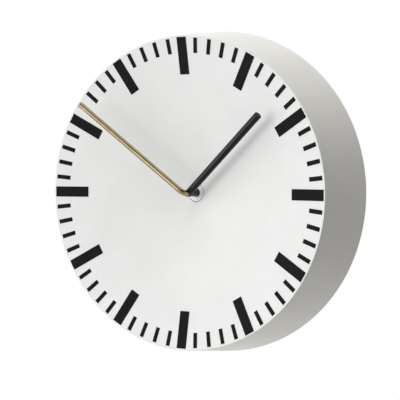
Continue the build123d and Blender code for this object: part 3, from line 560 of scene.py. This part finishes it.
def lacquered_board():
    """Paper laminate under green lacquer, with copper tracks showing as paler lines."""
    made, tree, where = new_material("lacquered_board")
    board = colours().board
    laid = add_node(tree, "ShaderNodeMapping", {"Vector": where, "Rotation": (pi / 2, 0.0, 0.0)})
    tracks = add_node(tree, "ShaderNodeTexBrick", {
        "Vector": laid.outputs["Vector"], "Scale": 1.0 / (4 * MM), "Mortar Size": 0.05, "Brick Width": 0.9,
        "Row Height": 0.35,
    }).outputs["Fac"]
    tint = add_node(tree, "ShaderNodeMix", {FACTOR: tracks, FIRST: board, SECOND: toned(board, 1.6)},
                    data_type="RGBA")
    relief = add_node(tree, "ShaderNodeBump", {"Height": tracks, "Distance": 0.03 * MM})
    shader = add_node(tree, "ShaderNodeBsdfPrincipled", {
        "Base Color": tint.outputs[MIXED],
        "Roughness": uneven(tree, where, 2 * MM, 0.25, 0.4),
        "IOR": 1.5,
        "Normal": relief.outputs["Normal"],
    })
    add_node(tree, "ShaderNodeOutputMaterial", {"Surface": shader.outputs["BSDF"]})
    return made


def black_rubber():
    """Pressed nitrile rubber: dull black with a dusty bloom."""
    made, tree, where = new_material("pressed_rubber")
    rubber = colours().rubber
    bloom = uneven(tree, where, 2 * MM)
    tint = add_node(tree, "ShaderNodeMix", {FACTOR: bloom, FIRST: rubber, SECOND: toned(rubber, 2.2)},
                    data_type="RGBA")
    grain = uneven(tree, where, 0.4 * MM)
    relief = add_node(tree, "ShaderNodeBump", {"Height": grain, "Distance": 0.02 * MM})
    shader = add_node(tree, "ShaderNodeBsdfPrincipled", {
        "Base Color": tint.outputs[MIXED],
        "Roughness": uneven(tree, where, 1 * MM, 0.7, 0.85),
        "IOR": 1.52,
        "Normal": relief.outputs["Normal"],
    })
    add_node(tree, "ShaderNodeOutputMaterial", {"Surface": shader.outputs["BSDF"]})
    return made


def shrunk_film(right, left):
    """Film shrunk on the dry cell: glossy, a little wavy, with a pale band at the positive end."""
    made, tree, where = new_material("shrunk_film_jacket")
    look = colours()
    across = add_node(tree, "ShaderNodeSeparateXYZ", {"Vector": where}).outputs["X"]
    edge = right - BAND_SHARE * (right - left)
    band = add_node(tree, "ShaderNodeMapRange", {
        "Value": across, "From Min": edge, "From Max": edge + 0.1 * MM,
    })
    tint = add_node(tree, "ShaderNodeMix", {
        FACTOR: band.outputs["Result"], FIRST: look.jacket, SECOND: look.jacket_band,
    }, data_type="RGBA")
    waves = uneven(tree, where, 3 * MM)
    relief = add_node(tree, "ShaderNodeBump", {"Height": waves, "Distance": 0.02 * MM})
    shader = add_node(tree, "ShaderNodeBsdfPrincipled", {
        "Base Color": tint.outputs[MIXED],
        "Roughness": uneven(tree, where, 5 * MM, 0.2, 0.3),
        "IOR": 1.5,
        "Normal": relief.outputs["Normal"],
    })
    add_node(tree, "ShaderNodeOutputMaterial", {"Surface": shader.outputs["BSDF"]})
    return made


def show(material, *names):
    """Gives CAD nodes a finish."""
    for name in names:
        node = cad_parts[name]
        node.data.materials.clear()
        node.data.materials.append(material)


def new_object(name, shape, material):
    """Object in the scene from a bmesh, with one material."""
    mesh = bpy.data.meshes.new(name)
    shape.to_mesh(mesh)
    shape.free()
    mesh.materials.append(material)
    made = bpy.data.objects.new(name, mesh)
    bpy.context.scene.collection.objects.link(made)
    return made


def new_piece(name, shape, material, body, replaced=()):
    """Object from a bmesh, riding on a body and standing for CAD nodes."""
    piece = new_object(name, shape, material)
    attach(piece, body)
    if replaced:
        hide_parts(*replaced)


def smooth_under(shape, degrees_apart):
    """Smooth faces, with the edges that turn further than an angle kept sharp."""
    for face in shape.faces:
        face.smooth = True
    for edge in shape.edges:
        edge.smooth = len(edge.link_faces) == 2 and edge.calc_face_angle(0.0) < radians(degrees_apart)


def turned(profile, steps):
    """Closed solid turned about Z from points of radius and height, which end on the axis or meet."""
    shape = bmesh.new()
    line = [shape.verts.new((radius, 0.0, height)) for radius, height in profile]
    edges = [shape.edges.new(pair) for pair in zip(line, line[1:])]
    bmesh.ops.spin(shape, geom=line + edges, cent=(0, 0, 0), axis=(0, 0, 1), dvec=(0, 0, 0),
                   angle=2 * pi, steps=steps, use_merge=True, use_duplicate=False)
    bmesh.ops.remove_doubles(shape, verts=shape.verts, dist=WELD)
    bmesh.ops.recalc_face_normals(shape, faces=shape.faces)
    smooth_under(shape, TURNED_ANGLE)
    return shape


def joined(shapes):
    """One bmesh from several."""
    whole = bmesh.new()
    for shape in shapes:
        passing = bpy.data.meshes.new("passing")
        shape.to_mesh(passing)
        shape.free()
        whole.from_mesh(passing)
        bpy.data.meshes.remove(passing)
    return whole


def crossed_screw(head_radius, head_height, shank_radius, shank_length):
    """Pan-head screw with a cross recess, its head towards +Z and its seat at zero."""
    wide, long, deep = sizes().recess_width / 2, sizes().recess_length / 2, sizes().recess_depth
    head = [(across * head_radius, up * head_height) for across, up in PAN_HEAD]
    shank = [(shank_radius, 0.0), (shank_radius, -shank_length), (0.0, -shank_length)]
    shape = turned(head + shank, sizes().spin_steps)
    for normal in ((1, 0, 0), (0, 1, 0)):
        for reach in (-long, -wide, wide, long):
            crown = [f for f in shape.faces if f.calc_center_median().z > CROWN_SHARE * head_height]
            around = dict.fromkeys(part for f in crown for part in (*f.edges, *f.verts))
            bmesh.ops.bisect_plane(shape, geom=crown + list(around), dist=WELD,
                                   plane_co=Vector(normal) * reach, plane_no=normal)
    recess = []
    for face in shape.faces:
        middle = face.calc_center_median()
        narrow, far = sorted((abs(middle.x), abs(middle.y)))
        if middle.z > CROWN_SHARE * head_height and narrow < wide and far < long:
            recess.append(face)
    sunk = bmesh.ops.extrude_face_region(shape, geom=recess)["geom"]
    # The extrusion leaves the faces that it started from as a lid.
    bmesh.ops.delete(shape, geom=[f for f in recess if f.is_valid], context="FACES_ONLY")
    floor = [part for part in sunk if isinstance(part, bmesh.types.BMVert)]
    bmesh.ops.translate(shape, verts=floor, vec=(0, 0, -deep))
    bmesh.ops.scale(shape, verts=floor, vec=(RECESS_TAPER, RECESS_TAPER, 1.0))
    bmesh.ops.recalc_face_normals(shape, faces=shape.faces)
    smooth_under(shape, PRESSED_ANGLE)
    return shape


def merged_copy(name):
    """Copy of a CAD node with its loose triangles merged."""
    shape = bmesh.new()
    shape.from_mesh(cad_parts[name].data)
    bmesh.ops.remove_doubles(shape, verts=shape.verts, dist=CAD_WELD)
    return shape


def islands(name):
    """Boxes of the separate solids in a CAD node, as pairs of corners in a fixed order."""
    shape = merged_copy(name)
    left, found = set(shape.verts), []
    while left:
        group, front = set(), [left.pop()]
        while front:
            vert = front.pop()
            group.add(vert)
            beside = {edge.other_vert(vert) for edge in vert.link_edges} & left
            left -= beside
            front.extend(beside)
        low = Vector(min(vert.co[i] for vert in group) for i in range(3))
        high = Vector(max(vert.co[i] for vert in group) for i in range(3))
        found.append((low, high))
    shape.free()
    return sorted(found, key=lambda corners: [round(reach / MM, 2) for reach in corners[0]])


def softened(name, offset):
    """Copy of a CAD node with its sharp edges rounded."""
    shape = merged_copy(name)
    bmesh.ops.dissolve_limit(shape, angle_limit=radians(FLAT_ANGLE), verts=shape.verts, edges=shape.edges)
    sharp = [e for e in shape.edges if e.calc_face_angle(0.0) > radians(ROUNDED_ANGLE)]
    bmesh.ops.bevel(shape, geom=sharp, offset=offset, offset_type="OFFSET", affect="EDGES", segments=2,
                    profile=0.5, material=-1, clamp_overlap=True)
    bmesh.ops.triangulate(shape, faces=[f for f in shape.faces if len(f.verts) > 4])
    smooth_under(shape, PRESSED_ANGLE)
    return shape


def raised_bar(size, middle, upright=0.0):
    """Bar along X with rounded edges, centred at a point; an upright makes it a cross. Lengths in metres."""
    shape = bmesh.new()
    bmesh.ops.create_cube(shape, size=1.0, matrix=Matrix.Translation(middle) @ Matrix.Diagonal((*size, 1.0)))
    if upright:
        half = size[2] / 2
        for reach in (-half, half):
            geometry = list(shape.verts) + list(shape.edges) + list(shape.faces)
            cut = Vector((middle.x + reach, middle.y, middle.z))
            bmesh.ops.bisect_plane(shape, geom=geometry, dist=WELD, plane_co=cut, plane_no=(1, 0, 0))
        shape.normal_update()
        ends = [f for f in shape.faces if abs(f.normal.z) > 0.9]
        for stub in [f for f in ends if abs(f.calc_center_median().x - middle.x) < half]:
            away = stub.normal.copy()
            arm = bmesh.ops.extrude_discrete_faces(shape, faces=[stub])["faces"][0]
            bmesh.ops.translate(shape, verts=arm.verts, vec=away * upright)
    shape.normal_update()
    sharp = [e for e in shape.edges if e.calc_face_angle(0.0) > radians(ROUNDED_ANGLE)]
    bmesh.ops.bevel(shape, geom=sharp, offset=BAR_ROUNDING * min(size), offset_type="OFFSET", affect="EDGES",
                    segments=2, profile=0.5, material=-1)
    smooth_under(shape, PRESSED_ANGLE)
    return shape


class CLOCK_OT_shell(Operator):
    """White finishes of the drum, the dial and the disc at its centre"""

    bl_idname = "clock.shell"
    bl_label = "Shell and Dial"

    def execute(self, context):
        low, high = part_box("centre_cap")
        rim = (high.x - low.x) / 2
        look, size = colours(), sizes()
        # The dial is painted dark within the gap round the disc, and the disc within its bore: painted shade.
        dial_gap_shade = rim + size.cap_gap + size.gap_shade_reach
        cap_bore_shade = size.cap_bore + size.gap_shade_reach
        show(moulded_white_abs(), "case_side")
        show(sprayed_white("sprayed_matt_white", look.dial, look.dial_shade, dial_gap_shade), "dial")
        # The disc's paler white is painted light against the hub's shadow.
        show(sprayed_white("sprayed_white_painted_light", look.cap_lightened, look.cap_lightened_mottle, cap_bore_shade), "centre_cap")
        return {"FINISHED"}


class CLOCK_OT_marks(Operator):
    """Printed hour and minute marks"""

    bl_idname = "clock.marks"
    bl_label = "Printed Marks"

    def execute(self, context):
        show(screen_ink(), "hour_marks", "minute_marks")
        return {"FINISHED"}


class CLOCK_OT_hands(Operator):
    """Black hour tube, brass minute tube, its sleeve and the brass nut"""

    bl_idname = "clock.hands"
    bl_label = "Hands"

    def execute(self, context):
        low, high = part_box("minute_hand")
        tip = Vector((low.x, low.y, high.z))
        bend = Vector((0.0, low.y + sizes().bend_depth, 0.0))
        show(satin_black_paint(), "hour_hand")
        show(drawn_brass((tip - bend).normalized()), "minute_hand")
        show(turned_brass(), "minute_bush", "movement_nut")
        return {"FINISHED"}


class CLOCK_OT_movement(Operator):
    """Movement housing with its moulded signs, collar, pins and clips, and its gasket"""

    bl_idname = "clock.movement"
    bl_label = "Movement"

    def execute(self, context):
        size = sizes()
        plastic = moulded_black_abs()
        show(plastic, "movement_front", "movement_back", "setting_knob")
        show(black_rubber(), "movement_gasket")
        low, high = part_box("movement_back")
        knob_low, knob_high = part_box("setting_knob")
        knob = (knob_low + knob_high) / 2
        rise, stroke, tall = size.sign_rise, size.sign_stroke, size.sign_size
        face = high.y + rise / 2 - SIGN_SINK
        sign_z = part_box("battery")[1].z + size.sign_inset
        plus = Vector((high.x - size.sign_inset, face, sign_z))
        minus = Vector((low.x + size.sign_inset, face, sign_z))
        inner, outer, bevel, top = size.collar_inner, size.collar_outer, size.collar_bevel, COLLAR_RISE * rise
        collar = turned([
            (inner, 0.0), (inner, rise), (inner + bevel, top),
            (outer - bevel, top), (outer, rise), (outer, 0.0), (inner, 0.0),
        ], size.spin_steps)
        seat = Matrix.Translation((knob.x, high.y - SIGN_SINK, knob.z))
        bmesh.ops.transform(collar, verts=collar.verts, matrix=seat @ OUT_OF_BACK)
        shapes = [
            raised_bar((tall, rise, stroke), plus, upright=(tall - stroke) / 2),
            raised_bar((tall, rise, stroke), minus),
            collar,
        ]
        for x in (low.x + size.pin_inset, high.x - size.pin_inset):
            pin = turned([(radius * MM, height * MM) for radius, height in PIN_DOME], PIN_STEPS)
            seat = Matrix.Translation((x, high.y - PIN_SINK, high.z - size.pin_inset))
            bmesh.ops.transform(pin, verts=pin.verts, matrix=seat @ OUT_OF_BACK)
            shapes.append(pin)
        new_piece("movement_signs", joined(shapes), plastic, "shell")
        clips = []
        clip = (size.clip_thickness, size.clip_length, size.clip_width)
        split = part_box("movement_front")[1].y
        for z in (-size.clip_place, size.clip_place):
            for side in (low.x - size.clip_stand, high.x + size.clip_stand):
                clips.append(raised_bar(clip, Vector((side, split, z))))
        new_piece("movement_clips", joined(clips), plastic, "shell")
        return {"FINISHED"}


class CLOCK_OT_train(Operator):
    """Wheels, motor and electronics inside the movement"""

    bl_idname = "clock.train"
    bl_label = "Train and Motor"

    def execute(self, context):
        show(moulded_acetal(), "hour_wheel", "motion_wheel", "centre_wheel", "third_wheel", "seconds_wheel",
             "intermediate_wheel")
        show(stamped_iron(), "stator", "coil_core", "rotor", "minute_arbor", "crystal")
        show(wound_copper(), "coil")
        show(lacquered_board(), "circuit_board")
        show(black_rubber(), "chip")
        return {"FINISHED"}


class CLOCK_OT_fittings(Operator):
    """Hanger plate, washers, contacts and cross-headed screws"""

    bl_idname = "clock.fittings"
    bl_label = "Plate and Screws"

    def execute(self, context):
        size = sizes()
        plated = plated_steel()
        show(plated, "movement_washer", "clutch_washer", "positive_contact", "negative_contact")
        new_piece("hanger_plate", softened("hanger_bracket", size.edge_break), galvanised_plate(), "shell",
                  ["hanger_bracket"])
        for node in ("dial_screws", "bracket_screws"):
            shapes = []
            for index, (low, high) in enumerate(islands(node)):
                middle = (low + high) / 2
                head_radius = (high.x - low.x) / 2
                shank_length = high.y - low.y - size.head_height
                screw = crossed_screw(head_radius, size.head_height, size.shank_radius, shank_length)
                turn = Matrix.Rotation(radians(SCREW_TURN * index), 4, "Z")
                seat = Matrix.Translation((middle.x, high.y - size.head_height, middle.z))
                bmesh.ops.transform(screw, verts=screw.verts, matrix=seat @ OUT_OF_BACK @ turn)
                shapes.append(screw)
            name = node.replace("screws", "cross_screws")
            new_piece(name, joined(shapes), plated, "shell", [node])
        return {"FINISHED"}


class CLOCK_OT_cell(Operator):
    """Dry cell with its jacket, rolled edges and nub"""

    bl_idname = "clock.cell"
    bl_label = "Dry Cell"

    def execute(self, context):
        size = sizes()
        low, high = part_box("battery")
        middle = (low + high) / 2
        radius = (high.z - low.z) / 2
        end = high.x - size.nub_height
        span = end - low.x
        lying = Matrix.Translation((low.x, middle.y, middle.z)) @ Matrix.Rotation(pi / 2, 4, "Y")
        lip, base, nub = size.cell_lip, size.cell_recess, size.nub_radius
        # The jacket's edge is rolled in over the can, and ends a little past the can's side.
        can_side, curl = radius - CAN_INSET * lip, radius - ROLLED_EDGE[0][0] * lip
        rolled = [(radius - inwards * lip, along * lip) for inwards, along in ROLLED_EDGE]
        far_rolled = [(across, span - along) for across, along in reversed(rolled)]
        inside = [(curl, span - base), (can_side, span - base), (can_side, base), (curl, base)]
        jacket = turned(rolled + far_rolled + inside + rolled[:1], size.spin_steps)
        bmesh.ops.transform(jacket, verts=jacket.verts, matrix=lying)
        new_piece("cell_jacket", jacket, shrunk_film(end, low.x), "cell", ["battery"])
        # The can has a low boss at its flat end, and a nub with a flared foot at the other.
        boss_radius, boss_foot, boss = 0.55 * radius, 0.6 * radius, 0.15 * MM
        foot, neck, crimp, rounding = 0.8 * MM, 0.3 * MM, 0.2 * MM, 0.4 * MM
        top = span + size.nub_height
        can = turned([
            (0.0, boss), (boss_radius, boss), (boss_foot, base), (can_side, base), (can_side, span - base),
            (nub + foot, span - base), (nub + neck, span - crimp), (nub, span + crimp), (nub, top - rounding),
            (nub - rounding, top), (0.0, top),
        ], size.spin_steps)
        bmesh.ops.transform(can, verts=can.verts, matrix=lying)
        new_piece("cell_can", can, plated_steel(), "cell")
        return {"FINISHED"}


def outward(azimuth, elevation):
    """Direction from the dial, in degrees to the right of the front and up."""
    turn, rise = radians(azimuth), radians(elevation)
    return Vector((sin(turn) * cos(rise), -cos(turn) * cos(rise), sin(rise)))


def facing(away, spot, height_along=UPRIGHT):
    """Matrix of a thing at a spot that looks back along a direction, with its height along another."""
    across = Vector(height_along).cross(away).normalized()
    upward = away.cross(across)
    return Matrix.Translation(spot) @ Matrix((across, upward, away)).transposed().to_4x4()


def lamp(name, direction, distance, size, power, height_along):
    """Rectangular soft box that looks at the middle of the dial."""
    light = bpy.data.lights.new(name, "AREA")
    light.shape = "RECTANGLE"
    light.size, light.size_y = size
    light.energy = power
    away = Vector(direction).normalized()
    holder = bpy.data.objects.new(name, light)
    holder.matrix_world = facing(away, LAMP_AIM + away * distance, height_along)
    holder.visible_camera = False
    holder.visible_glossy = False
    bpy.context.scene.collection.objects.link(holder)


def card(name, azimuth, elevation, size, first, second, strength):
    """Glowing card that only reflections see, a metre from the frame's origin."""
    made, tree, where = new_material(name)
    tint = add_node(tree, "ShaderNodeMix", {
        FACTOR: uneven(tree, where, 20 * MM), FIRST: linear(first), SECOND: linear(second),
    }, data_type="RGBA")
    glow = add_node(tree, "ShaderNodeEmission", {"Color": tint.outputs[MIXED], "Strength": strength})
    add_node(tree, "ShaderNodeOutputMaterial", {"Surface": glow.outputs["Emission"]})
    away = outward(azimuth, elevation)
    shape = bmesh.new()
    bmesh.ops.create_grid(shape, x_segments=1, y_segments=1, size=0.5)
    stretch = Matrix.Diagonal((*size, 1.0, 1.0))
    bmesh.ops.transform(shape, verts=shape.verts, matrix=facing(away, away) @ stretch)
    sheet = new_object(name, shape, made)
    for kind in ("camera", "diffuse", "shadow", "transmission", "volume_scatter"):
        setattr(sheet, "visible_" + kind, False)


def studio_world(level):
    """Even light from all round at a level; seen directly or in a reflection it is white."""
    world = bpy.data.worlds.new("studio")
    bpy.context.scene.world = world
    world.use_nodes = True
    tree = world.node_tree
    tree.nodes.clear()
    path = add_node(tree, "ShaderNodeLightPath")
    seen = path.outputs["Is Camera Ray"]
    for kind in ("Is Glossy Ray", "Is Transmission Ray"):
        either = add_node(tree, "ShaderNodeMath", {0: seen, 1: path.outputs[kind]}, operation="MAXIMUM")
        seen = either.outputs["Value"]
    soft = add_node(tree, "ShaderNodeBackground", {"Color": WHITE, "Strength": level})
    white = add_node(tree, "ShaderNodeBackground", {"Color": WHITE, "Strength": 1.0})
    mixed = add_node(tree, "ShaderNodeMixShader", {0: seen, 1: soft.outputs[0], 2: white.outputs[0]})
    add_node(tree, "ShaderNodeOutputWorld", {"Surface": mixed.outputs[0]})


def painted_floor():
    """Matt paint on the studio floor: pale and even, with faint patches from the roller."""
    made, tree, where = new_material("painted_floor")
    pale = colours().floor
    patches = uneven(tree, where, 200 * MM)
    tint = add_node(tree, "ShaderNodeMix", {FACTOR: patches, FIRST: pale, SECOND: toned(pale, 0.97)},
                    data_type="RGBA")
    shader = add_node(tree, "ShaderNodeBsdfPrincipled", {
        "Base Color": tint.outputs[MIXED],
        "Roughness": uneven(tree, where, 50 * MM, 0.6, 0.75),
    })
    add_node(tree, "ShaderNodeOutputMaterial", {"Surface": shader.outputs["BSDF"]})
    return made


class CLOCK_OT_stage(Operator):
    """Studio floor, soft boxes, cards and the camera"""

    bl_idname = "clock.stage"
    bl_label = "Studio and Camera"

    def execute(self, context):
        scene = context.scene
        scene.view_settings.view_transform = "Standard"
        studio_world(WORLD_LEVEL)
        shape = bmesh.new()
        bmesh.ops.create_circle(shape, cap_ends=True, segments=FLOOR_SIDES, radius=FLOOR_RADIUS,
                                matrix=Matrix.Translation((0.0, 0.0, -FLOOR_DROP)))
        floor = new_object("floor", shape, painted_floor())
        for row in SOFT_BOXES:
            lamp(*row)
        for row in CARDS:
            card(*row)
        back = outward(CAMERA_AZIMUTH, CAMERA_ELEVATION)
        lens = bpy.data.cameras.new("camera")
        lens.sensor_width = SENSOR_WIDTH
        lens.sensor_fit = "HORIZONTAL"
        lens.lens = FOCAL_PIXELS * SENSOR_WIDTH / IMAGE_PIXELS
        lens.clip_start = NEAREST_SEEN
        camera = bpy.data.objects.new("camera", lens)
        camera.matrix_world = facing(back, CAMERA_AIM + back * CAMERA_DISTANCE)
        scene.collection.objects.link(camera)
        scene.camera = camera
        return {"FINISHED"}


PIECES = (
    CLOCK_OT_shell,
    CLOCK_OT_marks,
    CLOCK_OT_hands,
    CLOCK_OT_movement,
    CLOCK_OT_train,
    CLOCK_OT_fittings,
    CLOCK_OT_cell,
    CLOCK_OT_stage,
)


class CLOCK_PT_panel(Panel):
    """Pieces, colours and sizes of the clock"""

    bl_idname = "CLOCK_PT_panel"
    bl_label = "Wall Clock"
    bl_space_type = "VIEW_3D"
    bl_region_type = "UI"
    bl_category = "Clock"

    def draw(self, context):
        for piece in PIECES:
            self.layout.operator(piece.bl_idname, text=piece.bl_label)
        for group in (context.scene.clock_colours, context.scene.clock_sizes):
            box = self.layout.box()
            for key in group.bl_rna.properties.keys():
                if key not in ("rna_type", "name"):
                    box.prop(group, key)


CLASSES = (ClockColours, ClockSizes, *PIECES, CLOCK_PT_panel)


def register():
    for kind in CLASSES:
        bpy.utils.register_class(kind)
    bpy.types.Scene.clock_colours = PointerProperty(type=ClockColours)
    bpy.types.Scene.clock_sizes = PointerProperty(type=ClockSizes)


def unregister():
    del bpy.types.Scene.clock_sizes
    del bpy.types.Scene.clock_colours
    for kind in reversed(CLASSES):
        bpy.utils.unregister_class(kind)


def main():
    register()
    for piece in PIECES:
        group, name = piece.bl_idname.split(".")
        getattr(getattr(bpy.ops, group), name)()


if __name__ == "__main__":
    main()
